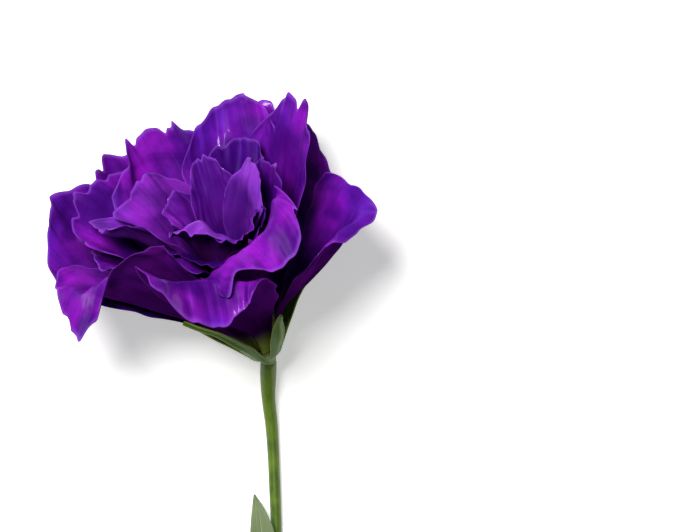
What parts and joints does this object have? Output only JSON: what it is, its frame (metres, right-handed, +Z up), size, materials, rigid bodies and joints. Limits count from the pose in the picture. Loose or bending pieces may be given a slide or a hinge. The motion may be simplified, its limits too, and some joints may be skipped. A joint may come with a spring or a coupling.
{
  "type": "lisianthus flower",
  "caption": "Double lisianthus flower with ruffled violet petals, cut with its green stem and leaves and lying on its side.",
  "frame": {"origin": "on the surface the flower lies on, under the middle of its box", "axes": "+Y along the flower from the cut end of the stem to the bloom's far petals, +Z up from the surface, +X to the right seen from above with the bloom away from the viewer"},
  "size_m": [0.086, 0.154, 0.0587],
  "materials": {
    "violet_petal": "soft satin petal",
    "sepal_green": "satin",
    "stem_green": "satin",
    "leaf_green": "matt, waxy",
    "style_green": "satin",
    "anther_yellow": "matt, powdery"
  },
  "bodies": {
    "root": {"outer_petal_left": "violet_petal", "outer_petal_front_left": "violet_petal", "outer_petal_front": "violet_petal", "outer_petal_right": "violet_petal", "outer_petal_back_right": "violet_petal", "outer_petal_back_left": "violet_petal", "second_petal_front_right": "violet_petal", "second_petal_right": "violet_petal", "second_petal_back_right": "violet_petal", "second_petal_back_left": "violet_petal", "second_petal_left": "violet_petal", "second_petal_front_left": "violet_petal", "third_petal_front": "violet_petal", "third_petal_front_right": "violet_petal", "third_petal_right": "violet_petal", "third_petal_back_right": "violet_petal", "third_petal_back_left": "violet_petal", "third_petal_left": "violet_petal", "inner_petal_front_left": "violet_petal", "inner_petal_front_right": "violet_petal", "inner_petal_right": "violet_petal", "inner_petal_back": "violet_petal", "inner_petal_left": "violet_petal", "sepal_1": "sepal_green", "sepal_2": "sepal_green", "sepal_3": "sepal_green", "sepal_4": "sepal_green", "sepal_5": "sepal_green", "receptacle": "stem_green", "pistil": "style_green", "stamen_1": "anther_yellow", "stamen_2": "anther_yellow", "stamen_3": "anther_yellow", "stamen_4": "anther_yellow", "stamen_5": "anther_yellow", "stem": "stem_green", "leaf_left": "leaf_green", "leaf_right": "leaf_green"}
  },
  "joints": []
}
